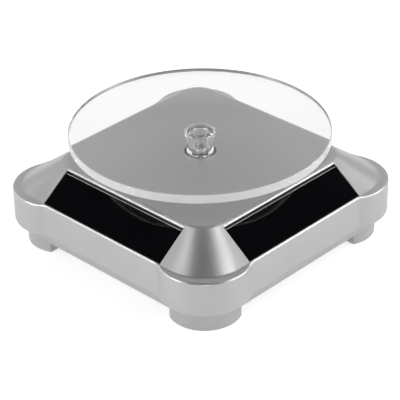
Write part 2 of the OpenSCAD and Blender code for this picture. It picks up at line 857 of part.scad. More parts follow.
upper_housing();
base_plate();
solar_cell_front();
solar_cell_right();
solar_cell_back();
solar_cell_left();
turntable_disc();
spindle_hub();
output_shaft();
output_gear();
second_gear();
first_gear();
second_axle();
first_axle();
gear_frame();
gear_top_plate();
spindle_bush();
thrust_washer();
motor_can();
motor_end_cap();
motor_magnet();
motor_brushes();
motor_terminals();
motor_shaft();
motor_armature();
motor_windings();
motor_commutator();
motor_pinion();
battery_door();
positive_contact();
negative_contact();
battery_spring();
switch_body();
switch_slider();
base_screws();
frame_screws();
gearbox_screws();
motor_lead();
battery_lead_red();
battery_lead_black();
solar_lead_red();
solar_lead_black();
solar_jumpers();
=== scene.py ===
"""The looks of the solar turntable display stand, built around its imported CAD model.

Meshes are drawn in millimetres and scaled down. Materials, lights and the camera are in metres.
"""
import json
import math

import bmesh
import bpy
from mathutils import Matrix, Vector


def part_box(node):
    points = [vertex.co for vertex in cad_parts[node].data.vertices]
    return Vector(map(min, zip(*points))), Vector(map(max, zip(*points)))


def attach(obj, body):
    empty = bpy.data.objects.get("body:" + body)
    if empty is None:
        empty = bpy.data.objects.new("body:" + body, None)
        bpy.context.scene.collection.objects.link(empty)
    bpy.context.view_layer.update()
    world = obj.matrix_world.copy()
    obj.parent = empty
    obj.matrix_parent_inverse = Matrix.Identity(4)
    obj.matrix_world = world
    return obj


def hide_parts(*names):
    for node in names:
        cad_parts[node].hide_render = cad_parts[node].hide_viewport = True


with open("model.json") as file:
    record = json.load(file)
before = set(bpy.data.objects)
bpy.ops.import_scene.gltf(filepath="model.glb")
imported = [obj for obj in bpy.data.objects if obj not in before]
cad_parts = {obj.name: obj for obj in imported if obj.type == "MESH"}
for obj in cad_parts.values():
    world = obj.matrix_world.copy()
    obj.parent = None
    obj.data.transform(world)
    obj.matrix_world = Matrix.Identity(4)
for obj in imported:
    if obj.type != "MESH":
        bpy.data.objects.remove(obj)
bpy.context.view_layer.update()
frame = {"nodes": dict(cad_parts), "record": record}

MM = 0.001

# ---------- sizes, in millimetres ----------


def millimetres(node):
    """A CAD node's lowest and highest corners, in millimetres."""
    low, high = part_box(node)
    return low / MM, high / MM


HOUSING_LOW, HOUSING_HIGH = millimetres("upper_housing")
BASE_LOW, BASE_HIGH = millimetres("base_plate")
DISC_LOW, DISC_HIGH = millimetres("turntable_disc")
HUB_LOW, HUB_HIGH = millimetres("spindle_hub")
CELL_HIGH = millimetres("solar_cell_front")[1]
SHAFT_HIGH = millimetres("output_shaft")[1]
PLATE_HIGH = millimetres("gear_top_plate")[1]

# Plan of the housing: flat walls, and a round lobe at each corner
LOBE_OFFSET = 35.0
LOBE_R = HOUSING_HIGH.x - LOBE_OFFSET
WALL_HALF = 48.6
JUNCTION_R = 4.0        # the hollow rounding where a lobe meets a wall
LIP_ROUND = 0.7         # the rounding along the top of the walls
BOTTOM_ROUND = 0.8      # and along the bottom
WALL = 2.2              # thickness of the shell

# Heights of the housing
BOTTOM_Z = HOUSING_LOW.z
PLATEAU_Z = HOUSING_HIGH.z
SHOULDER_Z = 20.95

# The slopes: how far in they run, and their corner radii below and above
SLOPE_RUN = 13.2
SLOPE_TAN = (PLATEAU_Z - SHOULDER_Z) / SLOPE_RUN
SLOPE_ANGLE = math.atan(SLOPE_TAN)
FOOT_CORNER_R = 16.2
TOP_CORNER_R = 7.7
TOP_ROUND = 0.85        # how far the rounding of the flat top's edge reaches each way
FLAT_CORNER_SHIFT = 0.35    # how far in the centres of the flat's corners lie from the slopes' upper ones
ROOF_CORNER_SHIFT = 0.7     # how far out those of the roof lie, inside
CREASE = 0.4            # half the width of the soft crease where a slope meets its ledge
CREASE_OF_LEDGE = 0.45  # the most of a narrow ledge that the crease takes
HOLE_R = 5.5            # the hole in the flat top, round the spindle
HOLE_ROUND = 0.35

# A window in each slope, and the glass cell in it
WINDOW_HALF_L = 27.65
WINDOW_LOW = 0.53       # from the wall to the window's lower edge, seen in plan
WINDOW_W = 13.85        # along the slope
WINDOW_DEPTH = 1.9      # from the slope down to the ledge that the cell lies on
WINDOW_ROUND = 0.14
UPPER_ROUND = 0.62      # the softer rounding of a window's upper edge
LEDGE = 2.4             # the ledge's width
FRAME_T = 3.4           # from the slope to the back of the frame that holds the ledge
FRAME_RIM = 2.0         # how far that frame reaches past the window's long edges
INNER_HALF_L = 28.1     # half the frame's length

# The screw posts that hang inside the shell: four for the base, three for the gearbox
BASE_FLOOR_Z = BASE_LOW.z + 8.3
BOSS_PLACE = 34.4
BOSS_R = 3.2
BOSS_HOLE_R = 1.35
BOSS_TOP_Z = 26.2
POST_R = 3.0
POST_HOLE_R = 1.05
GEARBOX_POSTS = ((27, -4), (27, 24), (-27, -6))

# ---------- small mesh tools ----------


def mesh_object(name, bm, smooth_below=32):
    """Turns a bmesh drawn in millimetres into an object, smooth except at its sharper edges."""
    bmesh.ops.scale(bm, vec=(MM, MM, MM), verts=bm.verts)
    bmesh.ops.recalc_face_normals(bm, faces=bm.faces)
    mesh = bpy.data.meshes.new(name)
    bm.to_mesh(mesh)
    bm.free()
    obj = bpy.data.objects.new(name, mesh)
    bpy.context.scene.collection.objects.link(obj)
    mesh.shade_smooth()
    mesh.set_sharp_from_angle(angle=math.radians(smooth_below))
    weights = obj.modifiers.new("even_shading", "WEIGHTED_NORMAL")
    weights.keep_sharp = True
    return obj


def add_ring(bm, points):
    """The points as new vertices, in order."""
    return [bm.verts.new(p) for p in points]


def join_rings(bm, lower, upper, skip=(), material=0):
    """Faces between two closed rings with the same number of vertices."""
    count = len(lower)
    for i in range(count):
        if i not in skip:
            j = (i + 1) % count
            face = bm.faces.new((lower[i], lower[j], upper[j], upper[i]))
            face.material_index = material


def even_turns(count):
    """Evenly spaced bearings round a whole circle."""
    return [2 * math.pi * i / count for i in range(count)]


def add_lathe(bm, profile, turns, centre=(0, 0), skip=()):
    """Turns a closed outline of (radius, height) points round a vertical axis, and returns its rings.

    Each ring has a vertex at every bearing in turns, or a single one at radius 0. A face is left out
    where skip holds its (outline step, turn) pair.
    """
    rings = []
    for radius, z in profile:
        if radius == 0:
            rings.append([bm.verts.new((centre[0], centre[1], z))])
            continue
        rings.append(add_ring(bm, [
            (centre[0] + radius * math.cos(a), centre[1] + radius * math.sin(a), z) for a in turns
        ]))
    for step, (lower, upper) in enumerate(zip(rings, rings[1:] + rings[:1])):
        if len(lower) == 1 and len(upper) == 1:
            continue
        for i in range(len(turns)):
            if (step, i) in skip:
                continue
            j = (i + 1) % len(turns)
            corners = [lower[i % len(lower)], lower[j % len(lower)]]
            corners += [upper[j % len(upper)], upper[i % len(upper)]]
            bm.faces.new(list(dict.fromkeys(corners)))
    return rings


def arc(centre_r, centre_z, radius, start, end, steps=4):
    """Points of (radius, height) along part of a circle, its angles in degrees."""
    angles = [math.radians(start + (end - start) * i / steps) for i in range(steps + 1)]
    return [(centre_r + radius * math.cos(a), centre_z + radius * math.sin(a)) for a in angles]


def bend(a, corner, b, t):
    """A point on the smooth bend from a to b that a corner between them is rounded to."""
    return a * (1 - t) ** 2 + corner * (2 * t * (1 - t)) + b * t ** 2


# ---------- the housing's shell ----------

CORNER_STEPS = 24
ROUND_STEPS = 4         # of the walls' roundings
EDGE_STEPS = 4          # of a window's edge
TOP_STEPS = 6           # of the flat top's edge
# Places along a wall where every level of the shell has a point
SIDE_STOPS = [0, 5.4, 10.8, 16.2, 21.6, 25.2, 26.3, 27.05, WINDOW_HALF_L + WINDOW_ROUND]
SIDE_POINTS = [-s for s in reversed(SIDE_STOPS[1:])] + SIDE_STOPS
QUARTER_COUNT = len(SIDE_POINTS) + CORNER_STEPS + 1


def four_sides(quarter):
    """Repeats the points of the front side and its right-hand corner round the other three sides."""
    ring = []
    for side in range(4):
        turn = Matrix.Rotation(math.radians(90 * side), 3, "Z")
        ring += [turn @ Vector(p) for p in quarter]
    return ring


def square_level(half, corner_centre, z, reach=None):
    """A level of the shell whose plan is a square with round corners.

    Its side points reach up to the given distance from the middle, or else almost to the corners.
    """
    radius = half - corner_centre
    if reach is None:
        reach = corner_centre - 0.05
    side_scale = min(1, reach / SIDE_STOPS[-1])
    quarter = [Vector((x * side_scale, -half, z)) for x in SIDE_POINTS]
    for i in range(CORNER_STEPS + 1):
        a = math.radians(-90 + 90 * i / CORNER_STEPS)
        quarter.append(Vector((
            corner_centre + radius * math.cos(a), -corner_centre + radius * math.sin(a), z
        )))
    return quarter


def slope_level(share):
    """The slope's level at a share of its run: 0 at the wall, 1 at the flat top."""
    half = WALL_HALF - SLOPE_RUN * share
    corner_r = FOOT_CORNER_R + (TOP_CORNER_R - FOOT_CORNER_R) * share
    return square_level(half, half - corner_r, SHOULDER_Z + (PLATEAU_Z - SHOULDER_Z) * share)


def wall_outline():
    """The wall's plan: at each place its point, its outward direction, and the tilt of what lies above."""
    depth = WALL_HALF - LOBE_OFFSET
    hollow_y = -WALL_HALF - JUNCTION_R
    hollow_x = LOBE_OFFSET - math.sqrt((LOBE_R + JUNCTION_R) ** 2 - (depth + JUNCTION_R) ** 2)
    rows = []
    for x in SIDE_POINTS:
        point, outward = Vector((x, -WALL_HALF)), Vector((0, -1))
        if abs(x) > hollow_x:
            across = abs(x) - hollow_x
            point.y = hollow_y + math.sqrt(JUNCTION_R ** 2 - across ** 2)
            outward = (Vector((math.copysign(hollow_x, x), hollow_y)) - point).normalized()
        rows.append((point, outward, SLOPE_ANGLE))
    start = math.atan2(-(depth + JUNCTION_R), hollow_x - LOBE_OFFSET)
    end = -math.pi / 2 - start
    for i in range(CORNER_STEPS + 1):
        a = start + (end - start) * i / CORNER_STEPS
        outward = Vector((math.cos(a), math.sin(a)))
        tilt = SLOPE_ANGLE / 2 if i in (0, CORNER_STEPS) else 0
        rows.append((Vector((LOBE_OFFSET, -LOBE_OFFSET)) + LOBE_R * outward, outward, tilt))
    return rows


def lip_level(rows, share):
    """A level of the rounding between the wall and what it meets above."""
    quarter = []
    for point, outward, tilt in rows:
        turn = share * (math.pi / 2 - tilt)
        centre_z = SHOULDER_Z + LIP_ROUND * (math.tan(tilt) - 1 / math.cos(tilt))
        plan = point - outward * LIP_ROUND * (1 - math.cos(turn))
        quarter.append(Vector((plan.x, plan.y, centre_z + LIP_ROUND * math.sin(turn))))
    return quarter


def crease_levels(lip):
    """The soft crease between a lobe's flat ledge and the slope's foot; along a wall there is no ledge."""
    foot = slope_level(0)
    inside = slope_level(CREASE / SLOPE_RUN)
    start, end = [], []
    for i, (edge, base, up) in enumerate(zip(lip, foot, inside)):
        if i < len(SIDE_POINTS):
            start.append(edge.lerp(up, 0.4))
            end.append(edge.lerp(up, 0.8))
            continue
        ledge_w = (edge - base).xy.length
        share = min(1, CREASE_OF_LEDGE * ledge_w / CREASE)
        start.append(base + (base - up).xy.normalized().to_3d() * CREASE * share)
        end.append(base.lerp(up, share))
    middle = [bend(a, base if i >= len(SIDE_POINTS) else a.lerp(b, 0.5), b, 0.5)
              for i, (a, base, b) in enumerate(zip(start, foot, end))]
    return [start, middle, end]


def hole_level(ring, radius, z):
    """A level of the spindle hole, its points on the same bearings as a square ring's."""
    return [Vector((p.x, p.y, 0)).normalized() * radius + Vector((0, 0, z)) for p in ring]


def window_loop(inset, depth, half_l=WINDOW_HALF_L, rim=0.0, upper=None):
    """A loop round the front window, drawn from its lower left corner, at a depth under the slope.

    Its upper edge may have an (inset, depth) of its own.
    """
    upper_inset, upper_depth = upper or (inset, depth)
    along = Vector((0, math.cos(SLOPE_ANGLE), math.sin(SLOPE_ANGLE)))
    out = Vector((0, -math.sin(SLOPE_ANGLE), math.cos(SLOPE_ANGLE)))
    lower_edge = Vector((0, -WALL_HALF + WINDOW_LOW, SHOULDER_Z + WINDOW_LOW * SLOPE_TAN))
    low = lower_edge + along * (inset - rim)
    high = lower_edge + along * (WINDOW_W - upper_inset + rim)
    scale = (half_l - inset) / SIDE_STOPS[-1]
    row = [Vector((x * scale, 0, 0)) for x in SIDE_POINTS]
    return [p + low - out * depth for p in row] + [p + high - out * upper_depth for p in reversed(row)]


def cut_window(bm, side, outer_low, outer_high, inner_low, inner_high):
    """Joins the shell's skins through a window: a rounded edge, a recess with a ledge, and a frame inside.

    The recess takes the second material, black: the adhesive that the cell lies in, and painted shade on
    the recess walls in the narrow gap above the cell.
    """
    turn = Matrix.Rotation(math.radians(90 * side), 3, "Z")
    first = side * QUARTER_COUNT
    stops = len(SIDE_POINTS)

    def skin_loop(low, high):
        return low[first:first + stops] + high[first:first + stops][::-1]

    def rounded(radius, angle):
        return radius * (math.sin(angle) - 1), radius * (1 - math.cos(angle))

    loops = [skin_loop(outer_low, outer_high)]
    for i in range(1, EDGE_STEPS + 1):
        a = math.pi / 2 * i / EDGE_STEPS
        loop = window_loop(*rounded(WINDOW_ROUND, a), upper=rounded(UPPER_ROUND, a))
        loops.append(add_ring(bm, [turn @ p for p in loop]))
    for inset, depth in ((0, WINDOW_DEPTH), (LEDGE, WINDOW_DEPTH), (LEDGE, FRAME_T)):
        loops.append(add_ring(bm, [turn @ p for p in window_loop(inset, depth)]))
    loops.append(add_ring(bm, [turn @ p for p in window_loop(0, FRAME_T, INNER_HALF_L, FRAME_RIM)]))
    loops.append(skin_loop(inner_low, inner_high))
    for step, (outer, inner) in enumerate(zip(loops, loops[1:])):
        # Black on the recess walls and ledge: adhesive, and painted shade in the gap above the cell
        adhesive_and_shade = 1 if EDGE_STEPS <= step < EDGE_STEPS + 3 else 0
        join_rings(bm, outer, inner, material=adhesive_and_shade)


def window_row(upper, depth=0.0, rim=0.0):
    """The points of a skin along a window's upper or lower edge, and how far up the slope they lie."""
    if depth:
        corners = window_loop(0, depth, INNER_HALF_L, rim)
    else:
        corners = window_loop(-WINDOW_ROUND, 0, upper=(-UPPER_ROUND, 0))
    stops = len(SIDE_POINTS)
    row = corners[stops:][::-1] if upper else corners[:stops]
    return row, (WALL_HALF + row[0].y) / SLOPE_RUN


def top_levels():
    """The spindle hole's rounded edge, the flat top, and the rounding where it bends down to the slopes."""
    plateau_half = WALL_HALF - SLOPE_RUN
    flat_centre = plateau_half - TOP_CORNER_R - FLAT_CORNER_SHIFT
    flat_edge = square_level(plateau_half - TOP_ROUND, flat_centre, PLATEAU_Z)
    slope_edge = slope_level(1 - TOP_ROUND * math.cos(SLOPE_ANGLE) / SLOPE_RUN)
    sharp_edge = slope_level(1)
    levels = []
    for angle in (90, 45, 0):
        a = math.radians(angle)
        levels.append(hole_level(flat_edge, HOLE_R + HOLE_ROUND * (1 - math.sin(a)),
                                 PLATEAU_Z - HOLE_ROUND * (1 - math.cos(a))))
    hole_edge = levels[-1]
    for share in (0.3, 0.65, 1):
        levels.append([a.lerp(b, share) for a, b in zip(hole_edge, flat_edge)])
    for i in range(1, TOP_STEPS + 1):
        levels.append([
            bend(a, c, b, i / TOP_STEPS) for a, c, b in zip(flat_edge, sharp_edge, slope_edge)
        ])
    return levels


def wall_levels():
    """The crease at the slopes' foot, the rounded lip, and the wall with its rounded lower edge."""
    rows = wall_outline()
    levels = crease_levels(lip_level(rows, 1))[::-1]
    for i in range(ROUND_STEPS + 1):
        levels.append(lip_level(rows, 1 - i / ROUND_STEPS))
    for i in range(ROUND_STEPS + 1):
        turn = math.pi / 2 * i / ROUND_STEPS
        levels.append([
            (p - outward * BOTTOM_ROUND * (1 - math.cos(turn))).to_3d()
            + Vector((0, 0, BOTTOM_Z + BOTTOM_ROUND * (1 - math.sin(turn))))
            for p, outward, _ in rows
        ])
    return levels


def inside_levels():
    """The inner skin, from the bottom edge up to the roof and in to the spindle hole.

    Its levels 2 and 3 run along the lower and upper edges of the frames that back the windows.
    """
    wall_half = WALL_HALF - WALL
    wall_centre = WALL_HALF - FOOT_CORNER_R
    roof_z = PLATEAU_Z - WALL
    shoulder_z = SHOULDER_Z + WALL * SLOPE_TAN - WALL / math.cos(SLOPE_ANGLE)
    roof_half = wall_half - (roof_z - shoulder_z) / SLOPE_TAN
    roof_centre = roof_half - TOP_CORNER_R + ROOF_CORNER_SHIFT

    def level(share):
        half = wall_half + (roof_half - wall_half) * share
        centre = wall_centre + (roof_centre - wall_centre) * share
        return square_level(half, centre, shoulder_z + (roof_z - shoulder_z) * share, INNER_HALF_L)

    levels = [square_level(wall_half, wall_centre, z, INNER_HALF_L) for z in (BOTTOM_Z, shoulder_z)]
    for upper in (False, True):
        row, _ = window_row(upper, WALL, FRAME_RIM)
        share = (wall_half + row[0].y) / (wall_half - roof_half)
        levels.append(row + level(share)[len(SIDE_POINTS):])
    roof = level(1)
    return levels + [roof, hole_level(roof, HOLE_R, roof_z)]


def housing_levels():
    """Every level of the closed shell, from the spindle hole outwards and back inside.

    Also returns the places of the levels along the windows' upper outer and lower inner edges.
    """
    levels = top_levels()
    outer_edge = len(levels)
    for upper in (True, False):
        row, share = window_row(upper)
        levels.append(row + slope_level(share)[len(SIDE_POINTS):])
    levels += wall_levels()
    inner_edge = len(levels) + 2
    return levels + inside_levels(), outer_edge, inner_edge


def add_post(bm, centre, radius, hole_r, bottom_z, top_z, hole_top_z):
    """A round post that hangs inside the shell, with a screw hole in its lower end."""
    edge = 0.25
    profile = [(0, top_z), (0, hole_top_z), (hole_r, hole_top_z), (hole_r, bottom_z)]
    profile += arc(radius - edge, bottom_z + edge, edge, -90, 0, 3) + [(radius, top_z)]
    add_lathe(bm, profile, even_turns(32), centre)


def make_housing():
    """The silver shell with its four windows, and the screw posts inside it, each a closed shell."""
    bm = bmesh.new()
    levels, upper, inner = housing_levels()
    rings = [add_ring(bm, four_sides(level)) for level in levels]
    side_faces = [
        side * QUARTER_COUNT + i for side in range(4) for i in range(len(SIDE_POINTS) - 1)
    ]
    for i, ring in enumerate(rings):
        skip = side_faces if i in (upper, inner) else ()
        join_rings(bm, ring, rings[(i + 1) % len(rings)], skip)
    for side in range(4):
        cut_window(bm, side, rings[upper + 1], rings[upper], rings[inner], rings[inner + 1])
    for x in (-1, 1):
        for y in (-1, 1):
            centre = (x * BOSS_PLACE, y * BOSS_PLACE)
            add_post(bm, centre, BOSS_R, BOSS_HOLE_R, BASE_FLOOR_Z, BOSS_TOP_Z, BOSS_TOP_Z - 2)
    roof_z = PLATEAU_Z - WALL
    for centre in GEARBOX_POSTS:
        add_post(bm, centre, POST_R, POST_HOLE_R, PLATE_HIGH.z, roof_z + 0.2, PLATEAU_Z - 1)
    return mesh_object("housing_shell", bm)


# ---------- materials ----------

# Pointiness at which an edge starts to look worn, and at which it is fully worn
WORN_FROM, WORN_TO = 0.52, 0.62


def noise(nodes, links, coords, size, detail=2.0):
    """A noise whose blobs are about size metres across."""
    texture = nodes.new("ShaderNodeTexNoise")
    texture.inputs["Scale"].default_value = 1 / size
    texture.inputs["Detail"].default_value = detail
    links.new(coords, texture.inputs["Vector"])
    return texture.outputs["Fac"]


def spread(nodes, links, factor, low, high):
    """Maps the values that a noise mostly has, 0.3 to 0.7, to a range."""
    mapping = nodes.new("ShaderNodeMapRange")
    mapping.inputs["From Min"].default_value = 0.3
    mapping.inputs["From Max"].default_value = 0.7
    mapping.inputs["To Min"].default_value = low
    mapping.inputs["To Max"].default_value = high
    links.new(factor, mapping.inputs["Value"])
    return mapping.outputs["Result"]


def blend_colours(nodes, links, factor, a, b):
    """A mix of two colours; each is an RGB triple or another node's output."""
    mix = nodes.new("ShaderNodeMix")
    mix.data_type = "RGBA"
    if isinstance(factor, float):
        mix.inputs["Factor"].default_value = factor
    else:
        links.new(factor, mix.inputs["Factor"])
    for socket, value in ((mix.inputs["A"], a), (mix.inputs["B"], b)):
        if isinstance(value, tuple):
            socket.default_value = (*value, 1)
        else:
            links.new(value, socket)
    return mix.outputs["Result"]


def surface(name, colour, roughness, mottle=0.06, uneven=0.05, patch=0.012, grain=0.0003,
            grain_colour=0.04, depth=0.000004, wear=0.0, stretch=(1, 1, 1), **constants):
    """A material with patchy colour, uneven roughness, a fine grain in its bump, and paler worn edges.

    Patch and grain are sizes in metres, and depth is the grain's height. The constants go to the shader's
    own sockets.
    """
    material = bpy.data.materials.new(name)
    material.use_nodes = True
    nodes, links = material.node_tree.nodes, material.node_tree.links
    shader = nodes["Principled BSDF"]
    place = nodes.new("ShaderNodeMapping")
    place.inputs["Scale"].default_value = stretch
    links.new(nodes.new("ShaderNodeTexCoord").outputs["Object"], place.inputs["Vector"])
    patches = noise(nodes, links, place.outputs["Vector"], patch, 4.0)
    grains = noise(nodes, links, place.outputs["Vector"], grain)
    dark = tuple(c * (1 - mottle) for c in colour)
    pale = tuple(min(1.0, c * (1 + mottle)) for c in colour)
    shade = blend_colours(nodes, links, spread(nodes, links, patches, 0, 1), dark, pale)
    if grain_colour:
        speck = tuple(min(1.0, c * (1 + 2 * grain_colour) + 0.2 * grain_colour) for c in colour)
        shade = blend_colours(nodes, links, spread(nodes, links, grains, 0, grain_colour * 5), shade, speck)
    if wear:
        edges = nodes.new("ShaderNodeNewGeometry").outputs["Pointiness"]
        worn = nodes.new("ShaderNodeMapRange")
        worn.inputs["From Min"].default_value = WORN_FROM
        worn.inputs["From Max"].default_value = WORN_TO
        worn.inputs["To Max"].default_value = wear
        links.new(edges, worn.inputs["Value"])
        rubbed = tuple(min(1.0, c * 1.25 + 0.03) for c in colour)
        shade = blend_colours(nodes, links, worn.outputs["Result"], shade, rubbed)
    links.new(shade, shader.inputs["Base Color"])
    rough = spread(nodes, links, patches, max(0, roughness - uneven), roughness + uneven)
    links.new(rough, shader.inputs["Roughness"])
    bump = nodes.new("ShaderNodeBump")
    bump.inputs["Distance"].default_value = depth
    links.new(grains, bump.inputs["Height"])
    links.new(bump.outputs["Normal"], shader.inputs["Normal"])
    for socket, value in constants.items():
        shader.inputs[socket.replace("_", " ")].default_value = value
    return material


SILVER = surface("silver_paint", (0.49, 0.49, 0.493), 0.36, mottle=0.025, uneven=0.04, grain=0.0003,
                 grain_colour=0.06, depth=0.000012, wear=0.25, Metallic=0.75)
# A darker, rougher copy of the silver: painted shade for the base plate's strip under the walls' overhang
SHADED_BASE_SILVER = surface("silver_base_painted_shade", (0.43, 0.43, 0.433), 0.42, mottle=0.02, uneven=0.03, grain=0.00025,
                      grain_colour=0.03, depth=0.000006, wear=0.25, Metallic=0.7)
ACRYLIC = surface("clear_acrylic", (0.965, 0.97, 0.97), 0.008, mottle=0.004, uneven=0.008, patch=0.02,
                  grain=0.004, grain_colour=0.0, depth=0.0000005, Transmission_Weight=1.0, IOR=1.49)
CUT_EDGE = surface("acrylic_cut_edge", (0.78, 0.79, 0.79), 0.22, mottle=0.05, uneven=0.06, patch=0.006,
                   grain=0.0006, grain_colour=0.0, depth=0.000004, Transmission_Weight=0.4, IOR=1.49)
CLEAR = surface("clear_polystyrene", (0.98, 0.985, 0.985), 0.008, mottle=0.01, uneven=0.006, patch=0.004,
                grain=0.0015, grain_colour=0.0, depth=0.000001, Transmission_Weight=1.0, IOR=1.56)
CELL = surface("solar_glass", (0.003, 0.003, 0.004), 0.05, mottle=0.15, uneven=0.02, grain=0.0008,
               grain_colour=0.0, depth=0.0000003, IOR=1.45)
GLASS_EDGE = surface("ground_glass_edge", (0.85, 0.86, 0.86), 0.3, grain=0.0002)
ACETAL = surface("white_acetal", (0.78, 0.78, 0.74), 0.42, mottle=0.03, wear=0.3, Subsurface_Weight=0.1)
STEEL = surface("turned_steel", (0.58, 0.58, 0.59), 0.26, grain=0.0004, stretch=(1, 1, 8), wear=0.3,
                Metallic=1.0)
FERRITE = surface("ferrite", (0.05, 0.05, 0.055), 0.6, mottle=0.2, wear=0.5)
BRASS = surface("turned_brass", (0.72, 0.53, 0.22), 0.28, mottle=0.08, stretch=(1, 1, 8), wear=0.3,
                Metallic=1.0)
SINTERED = surface("sintered_bronze", (0.26, 0.24, 0.22), 0.42, mottle=0.08, grain=0.00015, depth=0.00001,
                   Metallic=0.9)
COPPER = surface("enamelled_copper", (0.62, 0.27, 0.12), 0.3, mottle=0.1, grain=0.0002, depth=0.00003,
                 stretch=(1, 1, 6), Metallic=0.9)
NICKEL = surface("nickel_plate", (0.66, 0.63, 0.58), 0.2, mottle=0.05, wear=0.3, Metallic=1.0)
BLACK = surface("black_plastic", (0.02, 0.02, 0.02), 0.4, mottle=0.15, wear=0.5)
RED_WIRE = surface("red_insulation", (0.5, 0.02, 0.015), 0.35, mottle=0.1)
BLACK_WIRE = surface("black_insulation", (0.015, 0.015, 0.015), 0.35, mottle=0.1)
BLUE_WIRE = surface("blue_insulation", (0.02, 0.07, 0.4), 0.35, mottle=0.1)

# The finish for each material slot of the record
FINISHES = {
    "housing_silver": SILVER, "clear_acrylic": ACRYLIC, "clear_plastic": CLEAR, "solar_glass": CELL,
    "white_acetal": ACETAL, "steel": STEEL, "magnet": FERRITE, "brass": BRASS, "copper": COPPER,
    "nickel": NICKEL, "black_plastic": BLACK, "red_wire": RED_WIRE, "black_wire": BLACK_WIRE,
    "blue_wire": BLUE_WIRE,
}
# Nodes that look unlike their slot: the base plate and battery door are painted darker than the housing, as
# painted shade for the strip that lies back under the walls, and the bush is sintered
OWN_FINISH = {"base_plate": SHADED_BASE_SILVER, "battery_door": SHADED_BASE_SILVER, "spindle_bush": SINTERED}


def paint(obj, *materials):
    """Adds materials to an object; its faces pick theirs by material_index."""
    for material in materials:
        obj.data.materials.append(material)


def paint_cad_nodes():
    """Gives each CAD node its own finish, or else that of the slot that the record names for it."""
    for part in frame["record"]["subparts"]:
        node = frame["nodes"][part["node"]]
        for socket in node.material_slots:
            socket.material = OWN_FINISH.get(part["node"], FINISHES[part["material_slot"]])


# ---------- the other visible pieces ----------


def make_disc():
    """The clear disc, with a small round along both rims. Its cut edge takes the second material."""
    rim = 0.35
    r, low, high = DISC_HIGH.x, DISC_LOW.z, DISC_HIGH.z
    profile = [(0, low)] + arc(r - rim, low + rim, rim, -90, 0)
    profile += arc(r - rim, high - rim, rim, 0, 90) + [(0, high)]
    bm = bmesh.new()
    add_lathe(bm, profile, even_turns(256))
    for face in bm.faces:
        if face.calc_center_median().xy.length > r - rim:
            face.material_index = 1
    return mesh_object("display_disc", bm)


# The split in the hub's column, and its bearing from +X
HUB_SLIT_W = 0.4
HUB_SLIT_ANGLE = -56
HUB_SECTORS = 95        # the steps round the hub, apart from the slit


def make_hub():
    """The clear hub: a spigot round the shaft, a split column with an open bore, and a flange on top."""
    air = 0.03              # keeps the flange's top off the disc, as a film of glue does
    spigot_r, column_r, flange_r = 2.9, 4.65, HUB_HIGH.x
    column_z, flange_z, top = PLATEAU_Z - 0.3, HUB_HIGH.z - 1.3, HUB_HIGH.z - air
    shaft_bore_r, open_bore_r, bore_floor_z = SHAFT_HIGH.x + 0.02, 2.5, SHAFT_HIGH.z
    edge = 0.3
    slit_top_z = flange_z - edge
    profile = [(shaft_bore_r, HUB_LOW.z), (spigot_r, HUB_LOW.z), (spigot_r, column_z)]
    profile += arc(column_r - edge, column_z + edge, edge, -90, 0)
    outer_low = len(profile)
    profile += [(column_r, bore_floor_z), (column_r, slit_top_z)]
    profile += arc(column_r + edge, flange_z - edge, edge, 180, 90)[1:]
    profile += arc(flange_r - edge, flange_z + edge, edge, -90, 0)
    profile += arc(flange_r - edge, top - edge, edge, 0, 90)
    profile += arc(open_bore_r + edge / 2, top - edge / 2, edge / 2, 90, 180, 2)
    inner_high = len(profile)
    profile += [(open_bore_r, slit_top_z), (open_bore_r, bore_floor_z), (shaft_bore_r, bore_floor_z)]
    half = HUB_SLIT_W / 2 / column_r
    start = math.radians(HUB_SLIT_ANGLE)
    rest = 2 * math.pi - 2 * half
    turns = [start - half] + [start + half + rest * i / HUB_SECTORS for i in range(HUB_SECTORS)]
    bm = bmesh.new()
    rings = add_lathe(bm, profile, turns, skip={(outer_low, 0), (inner_high, 0)})
    # The slit's four faces join the gap in the column's outside to the gap in its bore
    loop = [rings[outer_low], rings[outer_low + 1], rings[inner_high], rings[inner_high + 1]]
    for i in (0, 1):
        bm.faces.new([ring[i] for ring in loop])
    for one, other in ((loop[1], loop[2]), (loop[3], loop[0])):
        bm.faces.new((one[0], one[1], other[1], other[0]))
    return mesh_object("clear_hub", bm)


CELL_GAP = 0.8          # between a cell's upper edge and its window's
CELL_PLAY = 0.05        # between its lower edge and the window's
CELL_SUNK = 0.1         # how far its face lies below the slope
CELL_BACK = 1.8         # the depth of its back
CELL_CHAMFER = 0.22
# A cell's side faces come in fours, from the back up; this one is the chamfer along its upper edge
UPPER_CHAMFER_FACE = 10


def make_cell(side, name):
    """A glass cell with chamfered edges, lying in its window."""
    along = Vector((0, math.cos(SLOPE_ANGLE), math.sin(SLOPE_ANGLE)))
    out = Vector((0, -math.sin(SLOPE_ANGLE), math.cos(SLOPE_ANGLE)))
    corner = Vector((0, -WALL_HALF + WINDOW_LOW, SHOULDER_Z + WINDOW_LOW * SLOPE_TAN))
    turn = Matrix.Rotation(math.radians(90 * side), 3, "Z")
    bm = bmesh.new()
    loops = []
    for inset, depth in (
        (CELL_CHAMFER, CELL_BACK), (0, CELL_BACK - CELL_CHAMFER),
        (0, CELL_SUNK + CELL_CHAMFER), (CELL_CHAMFER, CELL_SUNK),
    ):
        x, low, high = CELL_HIGH.x - inset, CELL_PLAY + inset, WINDOW_W - CELL_GAP - inset
        face = corner - out * depth
        plan = ((-x, low), (x, low), (x, high), (-x, high))
        loops.append(add_ring(bm, [turn @ (face + Vector((u, 0, 0)) + along * v) for u, v in plan]))
    for lower, upper in zip(loops, loops[1:]):
        join_rings(bm, lower, upper)
    bm.faces.new(loops[0][::-1])
    bm.faces.new(loops[-1])
    cell = mesh_object(name, bm, smooth_below=10)
    paint(cell, CELL, GLASS_EDGE)
    cell.data.polygons[UPPER_CHAMFER_FACE].material_index = 1
    return cell


